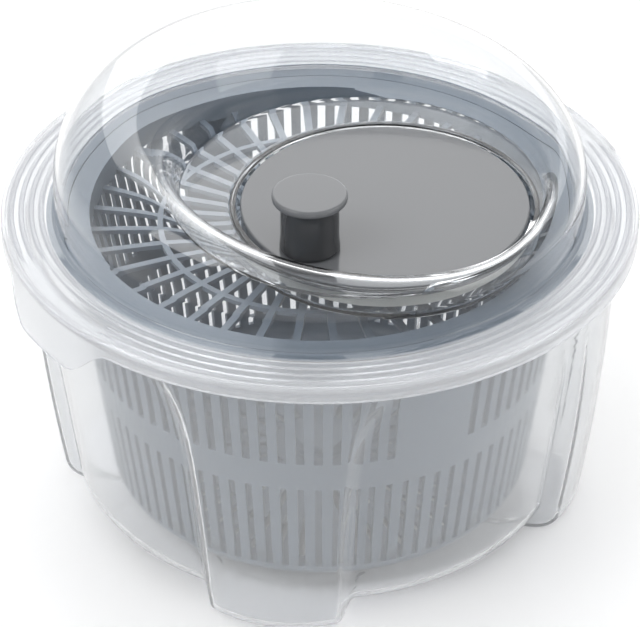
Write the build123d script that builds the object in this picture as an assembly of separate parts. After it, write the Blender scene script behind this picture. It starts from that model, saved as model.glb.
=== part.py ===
from build123d import *

import os
from math import acos, cos, pi, radians, sin, sqrt, tan

# Salad spinner, millimetres, +Z up. The origin is on the table under the bowl's centre.
# The grips are on X. The crank parts are drawn in the lid's frame, whose +X points
# from the bowl's axis to the crank's axis, and are then turned to CRANK_DIRECTION.

# Overall sizes and directions
RIM_Z = 135.0  # top of the basket's rim and of its cover
LID_R = 130.0  # edge of the lid's flange
WALL = 2.0  # wall of every moulded shell
CRANK_DIRECTION = 281.0  # degrees, from the bowl's axis to the crank's axis
KNOB_DIRECTION = 192.3  # degrees, from the crank's axis to the knob's
FOOT_ANGLES = (45.0, 135.0, 225.0, 315.0)
GRIP_ANGLES = (0.0, 180.0)

# Clearances
FIT = 0.05  # radial play of a shaft in its bore, or of a pressed piece
REST_GAP = 0.3  # between the lid and the bowl's lip
SEAT_GAP = 0.05  # between flat faces that bear on each other

# Bowl
BOWL_TOP_R = LID_R - 12.0
BOWL_RIM_R = LID_R - WALL - 0.5
BOWL_SHELF_Z = RIM_Z - 3.5
BOWL_FLOOR_Z = 4.0
BOWL_TAPER = 0.118  # radius lost for each millimetre down
BOWL_CORNER = 18.0
PIVOT_BOSS_R, PIVOT_BOSS_TOP = 6.0, BOWL_FLOOR_Z + 10.0
# Height, middle radius, half width and how far the side edges stand behind the middle
FOOT_LEVELS = (
    (RIM_Z - 3.0, BOWL_TOP_R + 3.5, 56.0, 12.0),
    (RIM_Z - 35.0, BOWL_TOP_R + 2.0, 40.0, 10.0),
    (RIM_Z / 3, BOWL_TOP_R - 0.5, 35.0, 11.0),
    (0.0, BOWL_TOP_R - 6.0, 33.0, 11.0),
)
FOOT_ROOT_X = BOWL_TOP_R - 40.0
FOOT_CORNER, FOOT_SOLE_ROUND = 12.0, 8.0

# Basket
BASKET_FLOOR_Z = BOWL_FLOOR_Z + 7.0
BASKET_TOP_R = BOWL_TOP_R - 14.3
BASKET_TAPER = 0.126
BASKET_CORNER = 8.0
BASKET_RIM_R = BOWL_TOP_R - 6.5
SLOT_COUNT = 84
UPPER_SLOT = (RIM_Z - 59.0, RIM_Z - 13.0, 3.4)  # low Z, high Z, width
LOWER_SLOT = (BASKET_FLOOR_Z + 7.0, RIM_Z - 73.0, 2.7)
BLANK_DIRECTION = 262.5  # middle of the panel without upper slots
BLANK_SLOTS = 4
FLOOR_SLOT_RINGS = ((22, 20.0, 46.0), (44, 50.0, BASKET_TOP_R - 27.7))  # count, inner R, outer R
FLOOR_SLOT_WIDTH = 3.0

# Basket cover
COVER_R = BASKET_TOP_R + 0.3
COVER_BAND_IN = COVER_R - 7.5
COVER_GRID_Z = RIM_Z - 10.5
BAR_COUNT, BAR_WIDTH, BAR_PHASE = 36, 3.0, 8.7
RIB_R, RIB_WIDTH = COVER_BAND_IN - 31.5, 2.5
HUB_R = 24.0
SOCKET_R, SOCKET_LOW, SOCKET_HIGH = 12.0, RIM_Z - 14.5, RIM_Z - 4.0
DOG_FLATS = 13.6
DOG_PLAY = 0.3

# Lid, whose dome and eye keep their share of its radius
LID_TOP_Z = RIM_Z + 3.0
SKIRT_LOW_Z = RIM_Z - 4.5
PLATEAU_Z = RIM_Z + 17.0
DOME_R = 108 / 130 * LID_R
DOME_EYE_R, DOME_EYE_SHIFT = 73 / 108 * DOME_R, 23 / 108 * DOME_R
ARCH_RISE = 0.6  # crest height as a share of the dome's width there
WELL_FLOOR_Z = RIM_Z + 4.5
WELL_LIP = 1.2
RIDGES = (DOME_R + 5.0, DOME_R + 10.0, DOME_R + 15.0)
RIDGE_WIDTH, RIDGE_RISE = 1.6, 0.6
GRIP_R, GRIP_LOW_Z = LID_R + 3.5, RIM_Z - 18.0
GRIP_HALF, GRIP_ROUND = 34.0, 13.0  # half of a grip's width, and its corners

# Crank, knob and gears, both gears with even teeth
DISC_R, DISC_Z = 57.7 / 108 * DOME_R, PLATEAU_Z + 0.5
WELL_R, RING_OUT_R = DISC_R + 1.8, DISC_R - 1.7
STEM_R, STEM_LOW_Z = 5.0, RIM_Z + 1.0
MODULE = 1.5
RING_TEETH = 2 * round((RING_OUT_R - 6.5) / MODULE)
PINION_TEETH = 2 * round(RING_TEETH * 3 / 22)
CRANK_SHIFT = MODULE * (RING_TEETH - PINION_TEETH) / 2
ADDENDUM, DEDENDUM, BACKLASH = 1.2, 1.6, 0.12
PRESSURE = 20.0
GEAR_LOW_Z, GEAR_HIGH_Z = RIM_Z + 6.0, RIM_Z + 12.0
KNOB_ARM = DISC_R - 13.7
KNOB_R, KNOB_CAP_R, KNOB_HEIGHT, KNOB_CAP_THICK = 12.0, 14.75, 25.0, 3.1
SPINDLE_R = 4.0
SHAFT_R = 3.0


def turned(points):
    """A solid of revolution about Z from (radius, z) corners."""
    return revolve(make_face(Polyline(*[(r, 0, z) for r, z in points], close=True)), Axis.Z)


def rod(radius, low, high, x=0.0, y=0.0):
    """An upright cylinder between two heights."""
    return Pos(x, y, (low + high) / 2) * Cylinder(radius, high - low)


def tube(inner, outer, low, high, x=0.0):
    """An upright ring between two heights."""
    return rod(outer, low, high, x) - rod(inner, low - 1, high + 1, x)


def in_crank_frame(shape):
    """Turns a shape from the lid's frame to its place on the object."""
    return Rotation(0, 0, CRANK_DIRECTION) * shape


def cup_profile(inset, top_r, top_z, taper, floor_z, corner):
    """Half section of a tapered cup, moved in by inset, with a rounded corner."""
    low = floor_z + inset
    foot_r = top_r - inset - (top_z - low) * taper
    face = make_face(
        Polyline((0, 0, low), (foot_r, 0, low), (top_r - inset, 0, top_z), (0, 0, top_z), close=True)
    )
    edge = face.vertices().sort_by(lambda v: -v.X + v.Z)[0]
    return fillet(edge, corner - inset)


def foot(inset):
    """One hollow foot as a solid on +X, or its cavity when inset is the wall."""
    wires = []
    for level, middle, half, back in FOOT_LEVELS:
        z = level + inset if level == 0.0 else level
        out, side = middle - inset, half - inset
        with BuildSketch(Plane.XY.offset(z)) as section:
            with BuildLine():
                ThreePointArc((out - back, -side), (out, 0), (out - back, side))
                Polyline(
                    (out - back, side), (FOOT_ROOT_X, side), (FOOT_ROOT_X, -side), (out - back, -side)
                )
            make_face()
            fillet(section.vertices().group_by(Axis.X)[-1], FOOT_CORNER - inset)
        wires.append(section.sketch.faces()[0].outer_wire())
    body = Solid.make_loft(wires, ruled=False)
    sole = body.edges().group_by(Axis.Z)[0]
    sole = sole.filter_by(lambda e: e.center().X > FOOT_ROOT_X + 1)
    return fillet(sole, FOOT_SOLE_ROUND - inset)


def grip():
    """One grip tab on +X: the lid's skirt flared and run further down, with round corners."""
    top = LID_TOP_Z - WALL
    face = make_face(
        Polyline(
            (LID_R - WALL, 0, top), (GRIP_R - WALL, 0, GRIP_LOW_Z), (GRIP_R, 0, GRIP_LOW_Z), (LID_R, 0, top),
            close=True,
        )
    )
    band = Rotation(0, 0, -30) * revolve(face, Axis.Z, 60)
    with BuildSketch(Plane.YZ.offset(LID_R - 40)) as shield:
        with BuildLine():
            Polyline(
                (-GRIP_HALF, LID_TOP_Z), (-GRIP_HALF, GRIP_LOW_Z - 0.5), (GRIP_HALF, GRIP_LOW_Z - 0.5),
                (GRIP_HALF, LID_TOP_Z), close=True,
            )
        make_face()
        fillet(shield.vertices().group_by(Axis.Y)[0], GRIP_ROUND)
    return band & extrude(shield.sketch, 60)


def bowl():
    """Frosted outer bowl with feet, rim lip and the pivot boss."""
    cup = (BOWL_TOP_R, BOWL_SHELF_Z, BOWL_TAPER, BOWL_FLOOR_Z, BOWL_CORNER)
    outer = revolve(cup_profile(0.0, *cup), Axis.Z)
    inner = revolve(cup_profile(WALL, *cup), Axis.Z)
    lip_top = LID_TOP_Z - WALL - REST_GAP
    rim = turned(
        [
            (BOWL_TOP_R - 6, BOWL_SHELF_Z),
            (BOWL_RIM_R, BOWL_SHELF_Z),
            (BOWL_RIM_R, lip_top),
            (BOWL_RIM_R - WALL, lip_top),
            (BOWL_RIM_R - WALL, BOWL_SHELF_Z + WALL),
            (BOWL_TOP_R - 6, BOWL_SHELF_Z + WALL),
        ]
    )
    body = outer + rim
    for angle in FOOT_ANGLES:
        body += Rotation(0, 0, angle) * foot(0.0)
    body -= inner
    body -= rod(BOWL_TOP_R - WALL, BOWL_SHELF_Z - 1, BOWL_SHELF_Z + 5)
    for angle in FOOT_ANGLES:
        body -= Rotation(0, 0, angle) * foot(WALL)
    boss = turned(
        [
            (0, BOWL_FLOOR_Z + WALL / 2),
            (16, BOWL_FLOOR_Z + WALL / 2),
            (16, BOWL_FLOOR_Z + WALL),
            (PIVOT_BOSS_R, BOWL_FLOOR_Z + WALL + 2),
            (PIVOT_BOSS_R, PIVOT_BOSS_TOP),
            (0, PIVOT_BOSS_TOP),
        ]
    )
    return body + boss


def pivot_cap():
    """Nylon bearing cap over the bowl's boss."""
    inner, outer = PIVOT_BOSS_R + FIT, PIVOT_BOSS_R + 2.0
    low, top = BOWL_FLOOR_Z + WALL + 2.6, PIVOT_BOSS_TOP + SEAT_GAP + 2.0
    return rod(outer, low, top) - rod(inner, low - 1, PIVOT_BOSS_TOP + SEAT_GAP)


def pivot_cup():
    """Cup in the basket's floor that turns on the bearing cap."""
    inner, outer = PIVOT_BOSS_R + 2.0 + FIT, PIVOT_BOSS_R + 4.5
    cap_top = PIVOT_BOSS_TOP + SEAT_GAP + 2.0
    top = cap_top + SEAT_GAP + 2.0
    body = rod(outer, BASKET_FLOOR_Z, top) + rod(outer + 2.5, BASKET_FLOOR_Z + WALL, BASKET_FLOOR_Z + WALL + 1.5)
    return body - rod(inner, BASKET_FLOOR_Z - 1, cap_top + SEAT_GAP)


def basket_slots():
    """Every slot of the basket's wall and floor."""
    pitch = 360 / SLOT_COUNT
    tools = []
    for index in range(SLOT_COUNT):
        angle = BLANK_DIRECTION + (index + 0.5) * pitch
        from_blank = (index + 0.5) % (SLOT_COUNT / 2)
        near = min(from_blank, SLOT_COUNT / 2 - from_blank)
        rows = [LOWER_SLOT] if near < BLANK_SLOTS / 2 else [LOWER_SLOT, UPPER_SLOT]
        for low, high, width in rows:
            box = Pos(BASKET_TOP_R - 8.7, 0, (low + high) / 2) * Box(34, width, high - low)
            tools.append(Rotation(0, 0, angle) * box)
    for count, inner, outer in FLOOR_SLOT_RINGS:
        for index in range(count):
            box = Pos((inner + outer) / 2, 0, BASKET_FLOOR_Z) * Box(outer - inner, FLOOR_SLOT_WIDTH, 3 * WALL)
            tools.append(Rotation(0, 0, index * 360 / count) * box)
    return tools


def basket():
    """Slotted basket with a stepped rim that holds the cover."""
    cup = (BASKET_TOP_R, RIM_Z - WALL, BASKET_TAPER, BASKET_FLOOR_Z, BASKET_CORNER)
    body = revolve(cup_profile(0.0, *cup), Axis.Z)
    lip_in = COVER_R + 0.4
    inside_r = BASKET_TOP_R - WALL
    rim = turned(
        [
            (inside_r, RIM_Z - 2 * WALL),
            (lip_in + WALL, RIM_Z - 2 * WALL),
            (lip_in + WALL, RIM_Z - WALL),
            (BASKET_RIM_R - WALL, RIM_Z - WALL),
            (BASKET_RIM_R - WALL, RIM_Z - 4.5),
            (BASKET_RIM_R, RIM_Z - 4.5),
            (BASKET_RIM_R, RIM_Z),
            (lip_in, RIM_Z),
            (lip_in, RIM_Z - WALL),
            (inside_r, RIM_Z - WALL),
        ]
    )
    body = body + rim - revolve(cup_profile(WALL, *cup), Axis.Z)
    body -= basket_slots()
    return body - rod(PIVOT_BOSS_R + 4.5 + FIT, 0, BASKET_FLOOR_Z + 3)


def basket_cover():
    """Dished cover: flat band, wall, radial bars, ring rib and hub."""
    band = turned(
        [
            (COVER_BAND_IN - WALL, COVER_GRID_Z),
            (COVER_BAND_IN, COVER_GRID_Z),
            (COVER_BAND_IN, RIM_Z - WALL + SEAT_GAP),
            (COVER_R, RIM_Z - WALL + SEAT_GAP),
            (COVER_R, RIM_Z),
            (COVER_BAND_IN - WALL, RIM_Z),
        ]
    )
    body = band + tube(RIB_R - RIB_WIDTH / 2, RIB_R + RIB_WIDTH / 2, COVER_GRID_Z, COVER_GRID_Z + WALL)
    body += rod(HUB_R, COVER_GRID_Z, COVER_GRID_Z + WALL)
    reach = COVER_BAND_IN - WALL / 2 - (HUB_R - 2)
    bars = [
        Rotation(0, 0, BAR_PHASE + index * 360 / BAR_COUNT)
        * Pos(HUB_R - 2 + reach / 2, 0, COVER_GRID_Z + WALL / 2)
        * Box(reach, BAR_WIDTH, WALL)
        for index in range(BAR_COUNT)
    ]
    body = body + bars
    return body - rod(SOCKET_R + FIT, COVER_GRID_Z - 1, COVER_GRID_Z + 5)


def hex_prism(flats, low, high):
    """A hexagonal prism across the given flats."""
    return extrude(Plane.XY.offset(low) * RegularPolygon(flats / 2, 6, major_radius=False), high - low)


def cover_socket():
    """Hexagonal drive socket in the cover's hub."""
    shelf = COVER_GRID_Z + WALL
    body = rod(SOCKET_R, SOCKET_LOW, SOCKET_HIGH) + rod(SOCKET_R + 3, shelf, shelf + 1.5)
    return body - hex_prism(DOG_FLATS + 2 * DOG_PLAY, SOCKET_LOW + 2, SOCKET_HIGH + 1)


def arch_section(angle):
    """Closed outline of the hollow ring dome's skin in one half plane through the axis."""
    a = radians(angle)
    eye = DOME_EYE_SHIFT * cos(a) + sqrt(DOME_EYE_R**2 - (DOME_EYE_SHIFT * sin(a)) ** 2)
    middle, half = (DOME_R + eye) / 2, (DOME_R - eye) / 2
    rise = ARCH_RISE * 2 * half

    def skin(inset):
        """Half ellipse from the dome's outer foot to its inner foot."""
        steps = [pi * i / 10 for i in range(11)]
        return [
            (middle + (half - inset) * cos(t), PLATEAU_Z + (rise - inset) * sin(t)) for t in steps
        ]

    def put(point):
        """Moves (radius, z) into the half plane."""
        return (point[0] * cos(a), point[0] * sin(a), point[1])

    up, down = (0, 0, 1), (0, 0, -1)
    outer, inner = [put(p) for p in skin(0.0)], [put(p) for p in skin(WALL)]
    rim_foot, eye_foot = LID_TOP_Z - WALL / 2, PLATEAU_Z - WALL / 2
    legs = [
        Polyline(outer[-1], put((eye, eye_foot)), put((eye + WALL, eye_foot)), inner[-1]),
        Polyline(inner[0], put((DOME_R - WALL, rim_foot)), put((DOME_R, rim_foot)), outer[0]),
    ]
    over = Spline(*outer, tangents=(up, down))
    under = Spline(*inner[::-1], tangents=(up, down))
    return Wire([*over.edges(), *legs[0].edges(), *under.edges(), *legs[1].edges()])


def dome_arch():
    """The hollow ring dome: sections over just more than half a turn, cut and mirrored."""
    half = Solid.make_loft([arch_section(angle) for angle in range(-20, 201, 20)], ruled=False)
    half = half & Pos(0, 200, PLATEAU_Z) * Box(400, 400, 100)
    return half + mirror(half, about=Plane.XZ)


def lid_dome():
    """Clear lid: ridged flange, skirt, grip tabs, dome, plateau and the crank's well."""
    under = LID_TOP_Z - WALL
    ring = turned(
        [
            (DOME_R - WALL / 2, under),
            (LID_R - WALL, under),
            (LID_R - WALL, SKIRT_LOW_Z),
            (LID_R, SKIRT_LOW_Z),
            (LID_R, LID_TOP_Z),
            (DOME_R - WALL / 2, LID_TOP_Z),
        ]
    )
    for radius in RIDGES:
        ring += tube(radius, radius + RIDGE_WIDTH, LID_TOP_Z - 0.5, LID_TOP_Z + RIDGE_RISE)
    plate_low = PLATEAU_Z - WALL
    plateau = rod(DOME_EYE_R + WALL / 2, plate_low, PLATEAU_Z, DOME_EYE_SHIFT)
    well = rod(WELL_R + WALL, WELL_FLOOR_Z - WALL, PLATEAU_Z + WELL_LIP, CRANK_SHIFT)
    body = ring + dome_arch() + plateau + well
    for angle in GRIP_ANGLES:
        body += Rotation(0, 0, angle - CRANK_DIRECTION) * grip()
    body -= rod(WELL_R, WELL_FLOOR_Z, PLATEAU_Z + 40, CRANK_SHIFT)
    body -= rod(STEM_R + 2.5 + FIT, WELL_FLOOR_Z - 5, WELL_FLOOR_Z + 1, CRANK_SHIFT)
    return body - rod(SHAFT_R + 2.5 + FIT, WELL_FLOOR_Z - 5, WELL_FLOOR_Z + 1)


def crank_bush():
    """Flanged bush of the disc's stem."""
    outer = STEM_R + 2.5
    body = rod(outer, STEM_LOW_Z + 0.5, WELL_FLOOR_Z, CRANK_SHIFT)
    body += rod(outer + 2.5, WELL_FLOOR_Z, WELL_FLOOR_Z + 1.5, CRANK_SHIFT)
    return body - rod(STEM_R + FIT, STEM_LOW_Z - 1, WELL_FLOOR_Z + 2, CRANK_SHIFT)


def pinion_bush():
    """Flanged bush of the drive shaft."""
    outer = SHAFT_R + 2.5
    body = rod(outer, WELL_FLOOR_Z - WALL - 1.5, WELL_FLOOR_Z)
    body += rod(outer + 2.5, WELL_FLOOR_Z, WELL_FLOOR_Z + 1.0)
    return body - rod(SHAFT_R + FIT, WELL_FLOOR_Z - 10, WELL_FLOOR_Z + 2)


def crank_disc():
    """Flat turning disc with a short skirt and a stem."""
    plate_low = DISC_Z - WALL
    plate = chamfer(rod(DISC_R, plate_low - 4, DISC_Z, CRANK_SHIFT).edges().sort_by(Axis.Z)[-1], 0.5)
    body = plate - rod(RING_OUT_R + FIT, plate_low - 5, plate_low, CRANK_SHIFT)
    body += rod(STEM_R, STEM_LOW_Z, plate_low + 0.5, CRANK_SHIFT)
    body -= rod(2.0 + FIT, STEM_LOW_Z - 1, STEM_LOW_Z + 12, CRANK_SHIFT)
    x, y = knob_place()
    return body - rod(2.5 + FIT, plate_low - 1, DISC_Z + 1, x, y)


def knob_place():
    """Knob axis in the lid's frame."""
    a = radians(KNOB_DIRECTION - CRANK_DIRECTION)
    return CRANK_SHIFT + KNOB_ARM * cos(a), KNOB_ARM * sin(a)


def involute(cosine):
    """Involute function of the pressure angle whose cosine is given."""
    angle = acos(min(1.0, cosine))
    return tan(angle) - angle


def gear_outline(teeth, low_r, high_r, inside):
    """Closed outline of involute teeth, one tooth centred on +X."""
    pitch_r = MODULE * teeth / 2
    base_r = pitch_r * cos(radians(PRESSURE))
    sign = -1 if inside else 1

    def half_angle(r):
        """Half of a tooth's angle at radius r."""
        grow = involute(cos(radians(PRESSURE))) - involute(base_r / max(r, base_r))
        return pi / (2 * teeth) + sign * grow - BACKLASH / r

    radii = [low_r + (high_r - low_r) * k / 3 for k in range(4)]
    if inside:
        radii = radii[::-1]
    points = []
    for index in range(teeth):
        centre = 2 * pi * index / teeth
        flank = [(r, -half_angle(r)) for r in radii] + [(r, half_angle(r)) for r in radii[::-1]]
        points += [(r * cos(centre + a), r * sin(centre + a)) for r, a in flank]
    return make_face(Polyline(*points, close=True))


def ring_gear():
    """Internal ring gear that hangs under the disc."""
    pitch_r = MODULE * RING_TEETH / 2
    space = gear_outline(RING_TEETH, pitch_r - ADDENDUM, pitch_r + DEDENDUM, True)
    face = Rotation(0, 0, 180 / RING_TEETH) * space
    height = DISC_Z - WALL - GEAR_LOW_Z
    ring = rod(RING_OUT_R, GEAR_LOW_Z, GEAR_LOW_Z + height)
    ring -= extrude(Pos(0, 0, GEAR_LOW_Z - 1) * face, height + 2)
    return Pos(CRANK_SHIFT, 0, 0) * ring


def drive_pinion():
    """Small pinion on the lid's axis."""
    pitch_r = MODULE * PINION_TEETH / 2
    face = gear_outline(PINION_TEETH, pitch_r - DEDENDUM, pitch_r + ADDENDUM, False)
    body = extrude(Pos(0, 0, GEAR_LOW_Z) * face, GEAR_HIGH_Z - GEAR_LOW_Z)
    return body - rod(SHAFT_R + FIT, GEAR_LOW_Z - 1, GEAR_HIGH_Z + 1)


def thrust_washer():
    """Washer between the pinion and its bush."""
    return tube(SHAFT_R + FIT, 5.5, WELL_FLOOR_Z + 1.0 + SEAT_GAP, GEAR_LOW_Z - SEAT_GAP)


def drive_shaft():
    """Steel shaft from the pinion down to the dog, with a clip groove."""
    groove = GEAR_HIGH_Z + 0.2
    shaft = chamfer(rod(SHAFT_R, SOCKET_LOW + 5, groove + 2.2).edges().filter_by(GeomType.CIRCLE), 0.4)
    return shaft - tube(SHAFT_R - 0.6, SHAFT_R + 1, groove, groove + 0.9)


def shaft_clip():
    """Open retaining clip in the shaft's groove."""
    low = GEAR_HIGH_Z + 0.25
    clip = tube(SHAFT_R - 0.6 + FIT, SHAFT_R + 2.2, low, low + 0.8)
    return clip - Pos(5, 0, low + 0.4) * Box(10, 3.6, 3)


def drive_dog():
    """Hexagonal dog at the shaft's foot."""
    low, high = SOCKET_LOW + 4, WELL_FLOOR_Z - WALL - 1.5 - 0.5
    body = hex_prism(DOG_FLATS, low, high - 1.5) + rod(5.0, high - 2, high)
    return body - rod(SHAFT_R + FIT, SOCKET_LOW + 5 - SEAT_GAP, high + 1)


def crank_washer():
    """Washer under the end of the disc's stem."""
    return tube(2.0 + FIT, STEM_R + 3.5, STEM_LOW_Z - 1.0 - SEAT_GAP, STEM_LOW_Z - SEAT_GAP, CRANK_SHIFT)


def cross_recess(x, y, z, size, depth):
    """Cross-shaped tool to cut a screw's drive recess, centred at height z."""
    one = Pos(x, y, z) * Box(size, size / 4, 2 * depth)
    return one + Pos(x, y, z) * Box(size / 4, size, 2 * depth)


def crank_screw():
    """Pan-head screw that holds the disc from below."""
    head_top = STEM_LOW_Z - 1.0 - 2 * SEAT_GAP
    head = fillet(rod(4.0, head_top - 2.4, head_top, CRANK_SHIFT).edges().sort_by(Axis.Z)[0], 1.0)
    body = head + rod(2.0, head_top - 1, STEM_LOW_Z + 10, CRANK_SHIFT)
    return body - cross_recess(CRANK_SHIFT, 0, head_top - 2.4, 4.0, 1.2)


def knob_spindle():
    """Post riveted to the disc, which the knob turns on."""
    x, y = knob_place()
    plate_low = DISC_Z - WALL
    body = rod(3.4, plate_low - 1.05, plate_low - SEAT_GAP, x, y) + rod(2.5, plate_low - 1, DISC_Z + 1, x, y)
    body += rod(SPINDLE_R, DISC_Z + SEAT_GAP, DISC_Z + KNOB_HEIGHT - 6.5, x, y)
    return body - rod(1.5 + FIT, DISC_Z + 8, DISC_Z + KNOB_HEIGHT, x, y)


def knob_grip():
    """Knob body, bored for its post and counterbored for the screw's head."""
    x, y = knob_place()
    low, high = DISC_Z + 0.4, DISC_Z + KNOB_HEIGHT - KNOB_CAP_THICK
    body = fillet(rod(KNOB_R, low, high, x, y).edges().sort_by(Axis.Z)[0], 1.0)
    body -= rod(SPINDLE_R + FIT, low - 1, high, x, y)
    return body - rod(6.5, DISC_Z + KNOB_HEIGHT - 6.5, high + 1, x, y)


def knob_screw():
    """Screw that keeps the knob on its post."""
    x, y = knob_place()
    seat = DISC_Z + KNOB_HEIGHT - 6.5 + SEAT_GAP
    body = rod(5.5, seat, seat + 1.8, x, y) + rod(1.5, DISC_Z + 10, seat + 1, x, y)
    return body - cross_recess(x, y, seat + 1.8, 4.0, 1.0)


def knob_cap():
    """Flat overhanging cap that hides the screw."""
    x, y = knob_place()
    top, low = DISC_Z + KNOB_HEIGHT, DISC_Z + KNOB_HEIGHT - KNOB_CAP_THICK
    disc = rod(KNOB_CAP_R, low + SEAT_GAP, top, x, y)
    disc = fillet(disc.edges().filter_by(GeomType.CIRCLE), 1.0)
    return disc + rod(6.5 - FIT, low - 1.2, low + 1, x, y)


def main():
    """Builds every piece and writes one STEP file each."""
    os.makedirs("parts", exist_ok=True)
    straight = (bowl, pivot_cap, basket, pivot_cup, basket_cover)
    in_lid = (
        cover_socket,
        lid_dome,
        crank_bush,
        pinion_bush,
        crank_disc,
        ring_gear,
        crank_washer,
        crank_screw,
        knob_spindle,
        knob_grip,
        knob_screw,
        knob_cap,
        drive_pinion,
        drive_shaft,
        drive_dog,
        thrust_washer,
        shaft_clip,
    )
    for make in straight:
        export_step(make(), f"parts/{make.__name__}.step")
    for make in in_lid:
        export_step(in_crank_frame(make()), f"parts/{make.__name__}.step")


if __name__ == "__main__":
    main()
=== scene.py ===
"""Salad spinner: the looks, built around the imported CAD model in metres.

The lid, bowl, crank disc and knob are remodelled with rounded edges and even walls, because
clear plastic shows every facet. The other pieces keep their CAD meshes and get real finishes.
"""

import logging
import math
from dataclasses import dataclass, field
from enum import Enum
from typing import Any, Callable, Sequence

import bpy
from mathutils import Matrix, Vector


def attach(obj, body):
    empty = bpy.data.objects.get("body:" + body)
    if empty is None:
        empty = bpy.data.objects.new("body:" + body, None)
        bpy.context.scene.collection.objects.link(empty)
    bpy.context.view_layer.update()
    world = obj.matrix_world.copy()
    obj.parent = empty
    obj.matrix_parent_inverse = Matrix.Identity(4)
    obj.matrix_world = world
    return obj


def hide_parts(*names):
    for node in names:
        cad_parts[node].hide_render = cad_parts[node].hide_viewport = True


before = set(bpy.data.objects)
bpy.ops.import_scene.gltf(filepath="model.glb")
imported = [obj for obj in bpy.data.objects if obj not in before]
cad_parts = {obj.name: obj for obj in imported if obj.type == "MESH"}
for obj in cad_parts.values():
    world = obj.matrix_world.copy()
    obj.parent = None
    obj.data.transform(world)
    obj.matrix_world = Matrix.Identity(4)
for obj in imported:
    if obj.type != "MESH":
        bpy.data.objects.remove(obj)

log = logging.getLogger("salad_spinner")
MM = 0.001
Station = tuple[float, float, float, float]
Place = Callable[[float, int], tuple[float, float, float]]


# ---------------------------------------------------------------- finishes


def linear(code: str) -> tuple[float, float, float, float]:
    """Turns an sRGB hex colour into the linear colour that shaders take.

    Args:
        code: The colour as "#rrggbb".

    Returns:
        Red, green, blue and an alpha of one.
    """
    parts = [int(code[i : i + 2], 16) / 255 for i in (1, 3, 5)]
    red, green, blue = [p / 12.92 if p <= 0.04045 else ((p + 0.055) / 1.055) ** 2.4 for p in parts]
    return red, green, blue, 1.0


def add_node(tree: bpy.types.NodeTree, kind: str, **values: Any) -> bpy.types.Node:
    """Adds one shader node and sets its inputs by name.

    Args:
        tree: The material's node tree.
        kind: The node's type, such as "ShaderNodeTexNoise".
        **values: Input values, with underscores for the spaces in socket names.

    Returns:
        The new node.
    """
    node = tree.nodes.new(kind)
    for name, value in values.items():
        node.inputs[name.replace("_", " ")].default_value = value
    return node


class Light(Enum):
    """How lamps treat a see-through finish."""

    BLOCKED = "blocked"
    PASSED = "passed"


@dataclass(frozen=True)
class Finish:
    """A moulded or machined surface, with a fine grain that breaks its highlights up."""

    name: str
    colour: str
    roughness: float
    ior: float = 1.5
    metallic: float = 0.0
    transmission: float = 0.0
    coat: float = 0.0
    subsurface: float = 0.0
    grain_mm: float = 0.0
    grain_height: float = 0.0
    light: Light = Light.BLOCKED
    passes: str = "#ffffff"

    def build(self) -> bpy.types.Material:
        """Makes the material.

        Returns:
            The material, ready to be put on a piece.
        """
        material = bpy.data.materials.new(self.name)
        material.use_nodes = True
        tree = material.node_tree
        shader = tree.nodes["Principled BSDF"]
        for socket, value in {
            "Base Color": linear(self.colour),
            "Roughness": self.roughness,
            "IOR": self.ior,
            "Metallic": self.metallic,
            "Transmission Weight": self.transmission,
            "Coat Weight": self.coat,
            "Coat Roughness": 0.05,
            "Subsurface Weight": self.subsurface,
            "Subsurface Radius": (0.004, 0.004, 0.004),
            "Subsurface Scale": 1.0,
        }.items():
            shader.inputs[socket].default_value = value
        if self.grain_mm > 0:
            self._grain(tree, shader)
        if self.light is Light.PASSED:
            self._let_light_through(tree, shader)
        return material

    def _grain(self, tree: bpy.types.NodeTree, shader: bpy.types.Node) -> None:
        """Adds the mould's fine grain as a bump, in object coordinates.

        Args:
            tree: The material's node tree.
            shader: The finish's main shader.
        """
        where = add_node(tree, "ShaderNodeTexCoord")
        noise = add_node(tree, "ShaderNodeTexNoise", Scale=1 / (self.grain_mm * MM), Detail=2.0)
        bump = add_node(tree, "ShaderNodeBump", Strength=0.3, Distance=self.grain_height * MM)
        tree.links.new(where.outputs["Object"], noise.inputs["Vector"])
        tree.links.new(noise.outputs["Fac"], bump.inputs["Height"])
        tree.links.new(bump.outputs["Normal"], shader.inputs["Normal"])

    def _let_light_through(self, tree: bpy.types.NodeTree, shader: bpy.types.Node) -> None:
        """Lets shadow rays pass, so that what stands behind the wall is lit.

        Args:
            tree: The material's node tree.
            shader: The finish's main shader.
        """
        path = add_node(tree, "ShaderNodeLightPath")
        clear = add_node(tree, "ShaderNodeBsdfTransparent", Color=linear(self.passes))
        mix = add_node(tree, "ShaderNodeMixShader")
        output = tree.nodes["Material Output"]
        tree.links.new(path.outputs["Is Shadow Ray"], mix.inputs[0])
        tree.links.new(shader.outputs[0], mix.inputs[1])
        tree.links.new(clear.outputs[0], mix.inputs[2])
        tree.links.new(mix.outputs[0], output.inputs["Surface"])


# Clear injection-moulded styrene: sharp reflections and bright bent edges.
CLEAR = Finish(
    "clear_styrene_moulded", "#f8f9fa", 0.01, ior=1.47, transmission=1.0,
    light=Light.PASSED, passes="#f6f7f8",
)
# The same styrene where the mould is textured: the flange and its grips look milky.
MILKY = Finish(
    "clear_styrene_textured_mould", "#f4f5f7", 0.2, ior=1.4, transmission=0.76,
    light=Light.PASSED, passes="#f2f3f5",
)
# Frosted polypropylene: a milky wall that still shows the basket behind it.
FROSTED = Finish(
    "frosted_polypropylene_moulded", "#f9fafb", 0.07, ior=1.33, transmission=0.87,
    light=Light.PASSED, passes="#f9f9fa",
)
# Blue-grey polypropylene with a satin mould finish.
BASKET = Finish(
    "blue_grey_polypropylene_satin", "#75808c", 0.34, ior=1.49, grain_mm=1.2, grain_height=0.03,
    subsurface=0.1,
)
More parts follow.
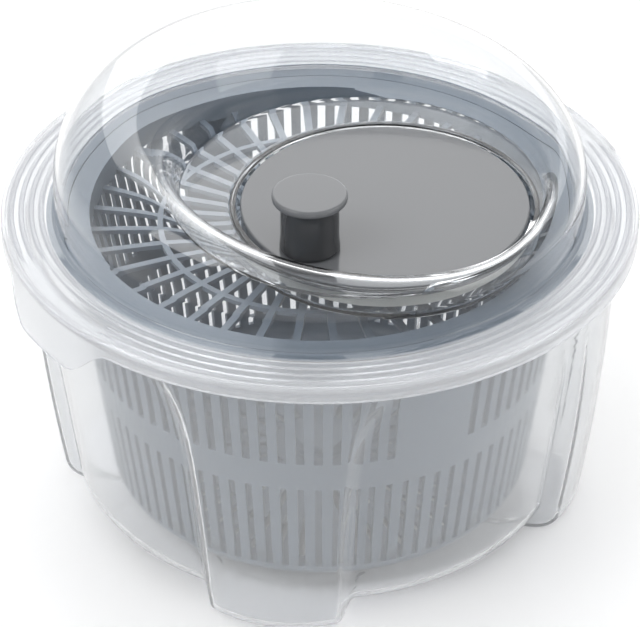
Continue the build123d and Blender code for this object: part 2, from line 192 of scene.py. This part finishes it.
# Grey ABS from a polished mould, flat and glossy.
DISC = Finish("grey_abs_polished_mould", "#67696c", 0.12, ior=1.5, coat=0.1)
# Darker polished ABS of the knob's body, with strong highlights.
KNOB = Finish("dark_grey_abs_polished_mould", "#3a3b3d", 0.12, ior=1.5, coat=0.3)
# Natural nylon of gears and bushes: off-white and dull.
NYLON = Finish("natural_nylon_moulded", "#e4e3dc", 0.42, ior=1.53, subsurface=0.1)
# Turned steel of shafts, screws and washers.
STEEL = Finish("turned_steel_bright", "#b9bbbe", 0.24, ior=2.5, metallic=1.0)


# ---------------------------------------------------------------- modelling


def deselect() -> None:
    """Leaves edit mode if needed and deselects every object."""
    if bpy.context.object and bpy.context.object.mode != "OBJECT":
        bpy.ops.object.mode_set(mode="OBJECT")
    bpy.ops.object.select_all(action="DESELECT")


def only(obj: bpy.types.Object) -> None:
    """Selects one object and makes it active.

    Args:
        obj: The object.
    """
    deselect()
    obj.select_set(True)
    bpy.context.view_layer.objects.active = obj


def use_modifier(obj: bpy.types.Object, kind: str, **settings: Any) -> None:
    """Adds a modifier, sets it and applies it.

    Args:
        obj: The piece.
        kind: The modifier's type, such as "SOLIDIFY".
        **settings: The modifier's properties.
    """
    only(obj)
    bpy.ops.object.modifier_add(type=kind)
    modifier = obj.modifiers[-1]
    for name, value in settings.items():
        setattr(modifier, name, value)
    bpy.ops.object.modifier_apply(modifier=modifier.name)


def turn_normals(obj: bpy.types.Object, want: Callable[[Vector, Vector], float]) -> None:
    """Makes an open sheet's normals consistent and turns them the wanted way.

    Args:
        obj: The piece.
        want: Takes a face's centre and normal, and is positive where the normal is right.
    """
    only(obj)
    bpy.ops.object.mode_set(mode="EDIT")
    bpy.ops.mesh.select_all(action="SELECT")
    bpy.ops.mesh.normals_make_consistent(inside=False)
    bpy.ops.object.mode_set(mode="OBJECT")
    if sum(want(f.center, f.normal) * f.area for f in obj.data.polygons) < 0:
        bpy.ops.object.mode_set(mode="EDIT")
        bpy.ops.mesh.select_all(action="SELECT")
        bpy.ops.mesh.flip_normals()
        bpy.ops.object.mode_set(mode="OBJECT")


def eased(stations: Sequence[Station], steps: int = 4) -> list[tuple[float, float, float]]:
    """Rounds the corners of a profile.

    Args:
        stations: Centre shift, radius, height and corner rounding of each corner, in mm.
        steps: How many pieces each round has.

    Returns:
        Centre shift, radius and height of each ring.
    """
    points = [Vector(s[:3]) for s in stations]
    rings: list[Vector] = []
    for i, point in enumerate(points):
        size = stations[i][3]
        if size <= 0 or i in (0, len(points) - 1):
            rings.append(point)
            continue
        back, ahead = points[i - 1] - point, points[i + 1] - point
        a = point + back.normalized() * min(size, back.length * 0.49)
        b = point + ahead.normalized() * min(size, ahead.length * 0.49)
        for k in range(steps + 1):
            t = k / steps
            rings.append(a * (1 - t) ** 2 + point * (2 * t * (1 - t)) + b * t**2)
    return [tuple(r) for r in rings]


@dataclass
class Skin:
    """A sheet of rings: one circle extruded ring by ring, then shaped by a formula in mm."""

    name: str
    around: int
    rings: int
    place: Place

    def build(self) -> bpy.types.Object:
        """Models the sheet.

        Returns:
            The open sheet, in metres, its origin at the world's origin.
        """
        deselect()
        bpy.ops.mesh.primitive_circle_add(vertices=self.around, radius=1.0, fill_type="NOTHING")
        sheet = bpy.context.object
        sheet.name = sheet.data.name = self.name
        bpy.ops.object.mode_set(mode="EDIT")
        bpy.ops.mesh.select_all(action="SELECT")
        for _ in range(self.rings - 1):
            bpy.ops.mesh.extrude_region_move(TRANSFORM_OT_translate={"value": (0, 0, 1)})
        bpy.ops.object.mode_set(mode="OBJECT")
        for vertex in sheet.data.vertices:
            angle = math.atan2(vertex.co.y, vertex.co.x)
            vertex.co = Vector(self.place(angle, round(vertex.co.z))) * MM
        only(sheet)
        bpy.ops.object.mode_set(mode="EDIT")
        bpy.ops.mesh.select_all(action="SELECT")
        bpy.ops.mesh.remove_doubles(threshold=1e-6)
        bpy.ops.object.mode_set(mode="OBJECT")
        return sheet


def turned(name: str, stations: Sequence[Station], x: float, y: float, around: int = 128) -> bpy.types.Object:
    """Models a closed turned piece round an upright axis.

    Args:
        name: The piece's name.
        stations: Its closed section, from the axis out and back to the axis, in mm.
        x: The axis's place, in mm.
        y: The axis's place, in mm.
        around: How many sides the piece has.

    Returns:
        The piece, smooth shaded with weighted normals.
    """
    rings = eased(stations)

    def place(angle: float, index: int) -> tuple[float, float, float]:
        """Where a ring's point goes.

        Args:
            angle: The point's angle round the piece's axis, in radians.
            index: The ring's number.

        Returns:
            The point, in mm.
        """
        _, radius, height = rings[index]
        return x + radius * math.cos(angle), y + radius * math.sin(angle), height

    piece = Skin(name, around, len(rings), place).build()
    turn_normals(piece, lambda c, n: (c.x / MM - x) * n.x + (c.y / MM - y) * n.y + 0.01 * n.z)
    smooth(piece)
    return piece


def smooth(obj: bpy.types.Object, angle: float = 50.0) -> None:
    """Shades a piece smooth, but for edges sharper than the angle, and flattens its flat faces.

    Args:
        obj: The piece.
        angle: The sharpest edge that is smoothed, in degrees.
    """
    only(obj)
    bpy.ops.object.shade_smooth_by_angle(angle=math.radians(angle))
    use_modifier(obj, "WEIGHTED_NORMAL", keep_sharp=True, weight=60)


def dress(obj: bpy.types.Object, finish: Finish, library: dict[str, bpy.types.Material]) -> None:
    """Puts one finish on a whole piece.

    Args:
        obj: The piece.
        finish: The finish.
        library: The materials made so far, which this adds to.
    """
    if finish.name not in library:
        library[finish.name] = finish.build()
    obj.data.materials.clear()
    obj.data.materials.append(library[finish.name])


def step(value: float) -> float:
    """Smooth step from 0 to 1.

    Args:
        value: Where on the step, held to the range from 0 to 1.

    Returns:
        The step's height there.
    """
    held = min(1.0, max(0.0, value))
    return held * held * (3 - 2 * held)


# ---------------------------------------------------------------- sub-assemblies


@dataclass
class Lid:
    """Clear lid: flange with ridges and grip tabs, hollow ring dome, plateau and crank well."""

    library: dict[str, bpy.types.Material]
    direction: float = 281.0
    flange_r: float = 129.95
    flange_z: float = 138.0
    skirt_low: float = 130.5
    dome_r: float = 108.0
    plateau_z: float = 152.0
    eye_r: float = 73.0
    eye_shift: float = 23.0
    rise: float = 0.6
    well_r: float = 59.5
    well_z: float = 139.5
    crank_shift: float = 36.0
    wall: float = 2.0
    grip_r: float = 133.5
    grip_low: float = 117.0
    grip_half: float = 34.0
    ridges: tuple[float, ...] = (113.5, 117.5, 121.5, 125.5)
    around: int = 256
    arch_rings: int = 28

    def _flange(self) -> list[tuple[float, float, float]]:
        """Rings from the skirt's lower edge over the flange to the dome's foot.

        Returns:
            Centre shift, radius and height of each ring, in mm.
        """
        z = self.flange_z
        stations: list[Station] = [
            (0, self.flange_r, self.skirt_low, 0),
            (0, self.flange_r, z - 3.0, 0.5),
            (0, self.flange_r, z, 1.4),
            (0, self.ridges[-1] + 1.6, z, 0.5),
        ]
        for radius in reversed(self.ridges):
            stations += [
                (0, radius + 1.1, z, 0.4),
                (0, radius + 0.7, z + 0.6, 0.4),
                (0, radius - 0.7, z + 0.6, 0.4),
                (0, radius - 1.1, z, 0.4),
            ]
        stations += [(0, self.dome_r, z, 1.6), (0, self.dome_r - 0.001, z + 6, 0)]
        return eased(stations, 3)

    def _well(self) -> list[tuple[float, float, float]]:
        """Rings from the dome's inner foot over the plateau and down into the well.

        Returns:
            Centre shift, radius and height of each ring, in mm.
        """
        z, shift = self.plateau_z, self.crank_shift
        return eased(
            [
                (self.eye_shift, self.eye_r, z + 0.3, 0),
                (self.eye_shift, self.eye_r - 0.2, z, 0.8),
                (shift - 0.8, self.well_r + 2.6, z, 0.3),
                (shift, self.well_r + 1.7, z + 0.7, 0.6),
                (shift, self.well_r, z + 0.7, 0.5),
                (shift, self.well_r, self.well_z, 1.6),
                (shift, 7.55, self.well_z, 0),
            ],
            3,
        )

    def _grip(self, angle: float, radius: float, height: float) -> tuple[float, float]:
        """Moves a flange point out and down where a grip tab is.

        Args:
            angle: The point's angle on the object, in radians.
            radius: Its radius on the plain flange, in mm.
            height: Its height on the plain flange, in mm.

        Returns:
            The new radius and height.
        """
        off = abs((angle + math.pi / 2) % math.pi - math.pi / 2)
        side = self.flange_r * math.sin(off)
        if side > self.grip_half + 6 or radius < 112:
            return radius, height
        mask = step((self.grip_half + 5 - side) / 12)
        if radius > self.flange_r - 0.01 and height < self.flange_z - 2:
            depth = (self.flange_z - 3 - height) / (self.flange_z - 3 - self.skirt_low)
            low = self.skirt_low - (self.skirt_low - self.grip_low) * step((self.grip_half + 2 - side) / 20)
            down = self.flange_z - 3 - depth * (self.flange_z - 3 - low)
            out = self.flange_r + (self.grip_r - self.flange_r - 0.2) * mask * (self.flange_z - down) / 26
            return out, down
        ease = step((radius - 112) / 8) * mask
        flat = self.flange_z + 0.25 - 0.9 * step((radius - 118) / 12)
        return radius, height + (min(flat, height + 5) - height) * ease

    def build(self) -> bpy.types.Object:
        """Models the lid and puts it on its body.

        Returns:
            The lid.
        """
        flange, well = self._flange(), self._well()
        arch_from = len(flange)
        well_from = arch_from + self.arch_rings - 1
        turn = math.radians(self.direction)

        def place(angle: float, index: int) -> tuple[float, float, float]:
            """Where a ring's point goes, in the object's frame.

            Args:
                angle: The point's angle on the object, in radians.
                index: The ring's number from the skirt's lower edge.

            Returns:
                The point, in mm.
            """
            local = angle - turn
            if index < arch_from:
                shift, radius, height = flange[index]
                radius, height = self._grip(angle, radius, height)
            elif index < well_from:
                t = math.pi * (index - arch_from) / (self.arch_rings - 1)
                part = (1 - math.cos(t)) / 2
                shift = self.eye_shift * part
                radius = self.dome_r + (self.eye_r - self.dome_r) * part
                across = math.hypot(
                    (self.dome_r - self.eye_r) * math.cos(local) - self.eye_shift,
                    (self.dome_r - self.eye_r) * math.sin(local),
                )
                height = self.plateau_z + self.rise * across * math.sin(t)
            else:
                shift, radius, height = well[index - well_from]
            x, y = shift + radius * math.cos(local), radius * math.sin(local)
            return (
                x * math.cos(turn) - y * math.sin(turn),
                x * math.sin(turn) + y * math.cos(turn),
                height,
            )

        lid = Skin("lid", self.around, well_from + len(well), place).build()
        turn_normals(lid, lambda c, n: n.z)
        use_modifier(lid, "SOLIDIFY", thickness=self.wall * MM, offset=-1.0, use_even_offset=True)
        self._bore(lid)
        smooth(lid, 60)
        dress(lid, CLEAR, self.library)
        self._texture_flange(lid)
        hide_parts("lid_dome")
        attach(lid, "lid_body")
        return lid

    def _texture_flange(self, lid: bpy.types.Object) -> None:
        """Gives the flange, skirt and grips the milky finish.

        Args:
            lid: The finished lid.
        """
        if MILKY.name not in self.library:
            self.library[MILKY.name] = MILKY.build()
        lid.data.materials.append(self.library[MILKY.name])
        for face in lid.data.polygons:
            x, y, z = face.center / MM
            if math.hypot(x, y) > self.dome_r + 3 and z < self.flange_z + 3:
                face.material_index = 1

    def _bore(self, lid: bpy.types.Object) -> None:
        """Cuts the drive shaft's bush hole through the well's floor.

        Args:
            lid: The lid, with its wall.
        """
        deselect()
        bpy.ops.mesh.primitive_cylinder_add(
            vertices=48, radius=5.55 * MM, depth=8 * MM, location=(0, 0, (self.well_z - 1) * MM)
        )
        cutter = bpy.context.object
        use_modifier(lid, "BOOLEAN", operation="DIFFERENCE", object=cutter, solver="EXACT")
        bpy.data.objects.remove(cutter)


@dataclass
class Bowl:
    """Frosted bowl: tapered wall, rim lip, four hollow feet and the pivot boss."""

    library: dict[str, bpy.types.Material]
    rim_r: float = 127.5
    lip_top: float = 135.7
    shelf_z: float = 131.5
    top_r: float = 118.0
    taper: float = 0.118
    corner: float = 18.0
    floor_z: float = 4.0
    wall: float = 2.0
    foot_back: float = 11.0
    around: int = 640
    wall_rings: int = 22
    corner_rings: int = 14
    feet: tuple[float, ...] = (45.0, 135.0, 225.0, 315.0)

    def _foot_r(self, z: float) -> float:
        """Radius of a foot's middle, on a curve through three levels.

        Args:
            z: The height, in mm.

        Returns:
            The radius, in mm.
        """
        (a, ra), (b, rb), (c, rc) = (132.0, 121.5), (45.0, 117.5), (0.0, 112.0)
        return (
            ra * (z - b) * (z - c) / ((a - b) * (a - c))
            + rb * (z - a) * (z - c) / ((b - a) * (b - c))
            + rc * (z - a) * (z - b) / ((c - a) * (c - b))
        )

    def _foot_half(self, z: float) -> float:
        """Half width of a foot, which flares towards the rim.

        Args:
            z: The height, in mm.

        Returns:
            Half of the width, in mm.
        """
        rise = max(0.0, (z - 45) / 87)
        return 34.0 + 1.5 * min(1.0, z / 45) + 6.0 * rise + 22.0 * rise**6

    def _rings(self) -> list[tuple[float, float, float, float]]:
        """Profile of the bowl between its feet and through the middle of a foot.

        Returns:
            Plain radius and height, then the foot's radius and height, of each ring, in mm.
        """
        lean = math.atan(self.taper)
        foot_r = self.top_r - (self.shelf_z - self.floor_z) * self.taper
        reach = self.corner * math.tan((math.pi / 2 - lean) / 2)
        low_z = self.floor_z + reach * math.cos(lean)
        rings = [
            (self.rim_r - 0.5, self.lip_top, self.rim_r - 0.5, self.lip_top),
            (self.rim_r, self.lip_top - 0.5, self.rim_r, self.lip_top - 0.5),
            (self.rim_r, self.shelf_z + 0.6, self.rim_r, self.shelf_z + 0.6),
            (self.rim_r - 0.6, self.shelf_z, self.rim_r - 0.6, self.shelf_z),
            (self.top_r + 3.0, self.shelf_z, 124.0, self.shelf_z),
            (self.top_r + 1.0, self.shelf_z - 0.4, 122.3, self.shelf_z - 0.4),
            (self.top_r, self.shelf_z - 2.2, 121.2, self.shelf_z - 2.2),
        ]
        start = self.shelf_z - 2.2
        for k in range(1, self.wall_rings + 1):
            z = start + (low_z - start) * (k / self.wall_rings)
            rings.append((self.top_r - (self.shelf_z - z) * self.taper, z, self._foot_r(z), z))
        centre_r, centre_z = foot_r - reach, self.floor_z + self.corner
        sole_round, sole_low = 9.0, self._foot_r(9.0)
        for k in range(1, self.corner_rings + 1):
            t = k / self.corner_rings
            angle = lean + (math.pi / 2 - lean) * t
            plain = (centre_r + self.corner * math.cos(angle), centre_z - self.corner * math.sin(angle))
            if t < 0.4:
                z = low_z + (sole_round - low_z) * t / 0.4
                outer = (self._foot_r(z), z)
            else:
                turn = math.pi / 2 * min(1.0, (t - 0.4) / 0.5)
                outer = (
                    sole_low - sole_round * (1 - math.cos(turn)) - 8.0 * max(0.0, (t - 0.9) / 0.1),
                    sole_round * (1 - math.sin(turn)),
                )
            rings.append((*plain, *outer))
        for plain_r, outer_r, outer_z in (
            (80.5, 92.0, 0.0),
            (79.0, 86.0, 0.0),
            (77.5, 81.5, 0.0),
            (76.0, 80.0, 0.4),
            (74.5, 79.0, 1.6),
            (73.0, 78.2, 2.8),
            (71.5, 77.2, 3.7),
            (69.5, 74.5, 4.0),
        ):
            rings.append((plain_r, self.floor_z, outer_r, outer_z))
        rings += [(r, self.floor_z, r, self.floor_z) for r in (60.0, 40.0, 16.0, 0.0)]
        return rings

    def build(self) -> bpy.types.Object:
        """Models the bowl and puts it on its body.

        Returns:
            The bowl.
        """
        rings = self._rings()

        def place(angle: float, index: int) -> tuple[float, float, float]:
            """Where a ring's point goes.

            Args:
                angle: The point's angle round the bowl, in radians.
                index: The ring's number from the lip.

            Returns:
                The point, in mm.
            """
            plain_r, plain_z, foot_r, foot_z = rings[index]
            radius, height = plain_r, plain_z
            off = min(
                abs((angle - math.radians(f) + math.pi) % (2 * math.pi) - math.pi) for f in self.feet
            )
            if off < 0.75 and (foot_r != plain_r or foot_z != plain_z):
                side = max(plain_r, foot_r) * math.sin(off)
                half = self._foot_half(foot_z)
                mask = step((half - side) / 9 + 0.15)
                back = self.foot_back * (0.55 - 0.33 * min(1.0, max(0.0, foot_z) / 132))
                face = foot_r - back * min(1.0, side / half) ** 2
                gain = (face - plain_r) * mask
                radius = plain_r + (gain + math.hypot(gain, 1.0)) / 2 - 0.5 * (1 - mask)
                height = plain_z + (foot_z - plain_z) * mask
            return radius * math.cos(angle), radius * math.sin(angle), height

        bowl = Skin("bowl_shell", self.around, len(rings), place).build()
        turn_normals(bowl, lambda c, n: c.x * n.x + c.y * n.y - 0.1 * n.z)
        use_modifier(bowl, "SOLIDIFY", thickness=self.wall * MM, offset=-1.0, use_even_offset=True)
        smooth(bowl, 60)
        dress(bowl, FROSTED, self.library)
        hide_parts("bowl")
        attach(bowl, "bowl_body")
        boss = turned(
            "bowl_boss",
            [
                (0, 0, 5.99, 0),
                (0, 16, 5.99, 0),
                (0, 8, 7.6, 1),
                (0, 6, 8.6, 0.5),
                (0, 6, 14, 0.4),
                (0, 0, 14, 0),
            ],
            0,
            0,
            64,
        )
        dress(boss, FROSTED, self.library)
        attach(boss, "bowl_body")
        return bowl


@dataclass
class Crank:
    """Turning disc with its stem, and the knob on it."""

    library: dict[str, bpy.types.Material]
    disc_r: float = 57.7
    disc_z: float = 152.5
    skirt_in_r: float = 56.1
    stem_r: float = 5.0
    stem_low: float = 136.0
    screw_hole_r: float = 2.1
    screw_hole_top: float = 146.2
    direction: float = 281.0
    shift: float = 36.0
    knob_direction: float = 192.3
    knob_arm: float = 44.0
    knob_r: float = 12.0
    cap_r: float = 14.75
    knob_height: float = 25.0
    cap_thick: float = 3.1

    def centre(self) -> tuple[float, float]:
        """Where the disc's axis stands.

        Returns:
            X and Y, in mm.
        """
        turn = math.radians(self.direction)
        return self.shift * math.cos(turn), self.shift * math.sin(turn)

    def knob(self) -> tuple[float, float]:
        """Where the knob's axis stands at rest.

        Returns:
            X and Y, in mm.
        """
        x, y = self.centre()
        turn = math.radians(self.knob_direction)
        return x + self.knob_arm * math.cos(turn), y + self.knob_arm * math.sin(turn)

    def build(self) -> list[bpy.types.Object]:
        """Models the disc, the knob's body and its cap.

        Returns:
            The three pieces.
        """
        x, y = self.centre()
        z = self.disc_z
        disc = turned(
            "disc",
            [
                (0, 0, z, 0),
                (0, self.disc_r, z, 0.9),
                (0, self.disc_r, z - 6, 0.5),
                (0, self.skirt_in_r, z - 6, 0.3),
                (0, self.skirt_in_r, z - 2, 0.5),
                (0, self.stem_r, z - 2, 1.0),
                (0, self.stem_r, self.stem_low, 0.3),
                (0, self.screw_hole_r, self.stem_low, 0),
                (0, self.screw_hole_r, self.screw_hole_top, 0),
                (0, 0, self.screw_hole_top, 0),
            ],
            x,
            y,
            192,
        )
        dress(disc, DISC, self.library)
        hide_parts("crank_disc")
        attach(disc, "crank_body")
        kx, ky = self.knob()
        low, top = z + 0.4, z + self.knob_height - self.cap_thick
        shelf = z + self.knob_height - 6.5
        grip = turned(
            "knob_body",
            [
                (0, 4.06, low, 0),
                (0, self.knob_r, low, 1.2),
                (0, self.knob_r - 0.5, low + 5, 3),
                (0, self.knob_r - 0.5, top - 3, 2),
                (0, self.knob_r, top, 0.3),
                (0, 6.5, top, 0.2),
                (0, 6.5, shelf, 0.2),
                (0, 4.06, shelf, 0.2),
                (0, 4.06, low, 0),
            ],
            kx,
            ky,
            96,
        )
        dress(grip, KNOB, self.library)
        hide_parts("knob_grip")
        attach(grip, "knob_body")
        cap = turned(
            "cap",
            [
                (0, 0, top - 1.2, 0),
                (0, 6.4, top - 1.2, 0.3),
                (0, 6.4, top + 0.05, 0.1),
                (0, self.cap_r, top + 0.05, 1.2),
                (0, self.cap_r, top + self.cap_thick, 1.2),
                (0, 0, top + self.cap_thick, 0),
            ],
            kx,
            ky,
            96,
        )
        dress(cap, DISC, self.library)
        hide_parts("knob_cap")
        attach(cap, "knob_body")
        return [disc, grip, cap]


@dataclass
class KeptPieces:
    """CAD pieces that keep their meshes and only get finishes."""

    library: dict[str, bpy.types.Material]
    finishes: dict[str, Finish] = field(
        default_factory=lambda: {
            "basket": BASKET,
            "basket_cover": BASKET,
            "pivot_cup": BASKET,
            "cover_socket": BASKET,
            "pivot_cap": NYLON,
            "crank_bush": NYLON,
            "pinion_bush": NYLON,
            "ring_gear": NYLON,
            "drive_pinion": NYLON,
            "drive_dog": NYLON,
            "crank_washer": STEEL,
            "crank_screw": STEEL,
            "knob_spindle": STEEL,
            "knob_screw": STEEL,
            "drive_shaft": STEEL,
            "thrust_washer": STEEL,
            "shaft_clip": STEEL,
        }
    )

    def build(self) -> list[bpy.types.Object]:
        """Dresses the kept CAD nodes.

        Returns:
            The nodes.
        """
        kept = []
        for name, finish in self.finishes.items():
            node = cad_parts[name]
            dress(node, finish, self.library)
            kept.append(node)
        return kept


# ---------------------------------------------------------------- studio


@dataclass
class Studio:
    """White sweep, soft boxes and the camera."""

    library: dict[str, bpy.types.Material]
    azimuth: float = -35.0
    elevation: float = 35.03
    distance: float = 1.2
    aim_z: float = 0.0807
    lens: float = 160.9

    def _box(self, name: str, place: Sequence[float], size: float, power: float) -> None:
        """Adds one soft box that faces the object.

        Args:
            name: The lamp's name.
            place: Where it stands, in metres.
            size: Its side, in metres.
            power: Its power, in watts.
        """
        deselect()
        bpy.ops.object.light_add(type="AREA", location=place)
        lamp = bpy.context.object
        lamp.name = name
        lamp.data.energy, lamp.data.size = power, size
        aim = Vector((0, 0, 0.1)) - Vector(place)
        lamp.rotation_mode = "QUATERNION"
        lamp.rotation_quaternion = aim.to_track_quat("-Z", "Y")

    def build(self) -> None:
        """Adds floor, lamps, sky and camera."""
        deselect()
        bpy.ops.mesh.primitive_plane_add(size=12, location=(0, 0, -0.0002))
        floor = bpy.context.object
        floor.name = "floor"
        dress(floor, Finish("white_paper_sweep", "#ffffff", 0.6), self.library)
        turn = math.radians(self.azimuth)
        right = Vector((math.cos(turn), math.sin(turn), 0))
        back = Vector((-math.sin(turn), math.cos(turn), 0))
        self._box("key", right * -0.9 - back * 0.5 + Vector((0, 0, 1.3)), 0.8, 6)
        self._box("rim", back * 1.3 + Vector((0, 0, 0.9)), 1.2, 7)
        self._box("fill", right * 1.2 - back * 0.4 + Vector((0, 0, 0.7)), 0.9, 3)
        bpy.context.scene.view_settings.view_transform = "Standard"
        world = bpy.data.worlds.new("studio")
        bpy.context.scene.world = world
        world.use_nodes = True
        world.node_tree.nodes["Background"].inputs["Color"].default_value = (1, 1, 1, 1)
        world.node_tree.nodes["Background"].inputs["Strength"].default_value = 0.86
        lift = math.radians(self.elevation)
        away = back * -math.cos(lift) + Vector((0, 0, math.sin(lift)))
        deselect()
        bpy.ops.object.camera_add(location=Vector((0, 0, self.aim_z)) + away * self.distance)
        camera = bpy.context.object
        camera.data.lens, camera.data.sensor_width = self.lens, 36
        camera.rotation_mode = "QUATERNION"
        camera.rotation_quaternion = (-away).to_track_quat("-Z", "Y")
        bpy.context.scene.camera = camera


def main() -> None:
    """Builds every sub-assembly in order, then the studio."""
    logging.basicConfig(level=logging.INFO, format="%(message)s")
    library: dict[str, bpy.types.Material] = {}
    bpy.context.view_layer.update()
    for maker in (KeptPieces(library), Bowl(library), Crank(library), Lid(library)):
        made = maker.build()
        for piece in made if isinstance(made, list) else [made]:
            log.info("built %s, %d faces", piece.name, len(piece.data.polygons))
    Studio(library).build()


if __name__ == "__main__":
    main()
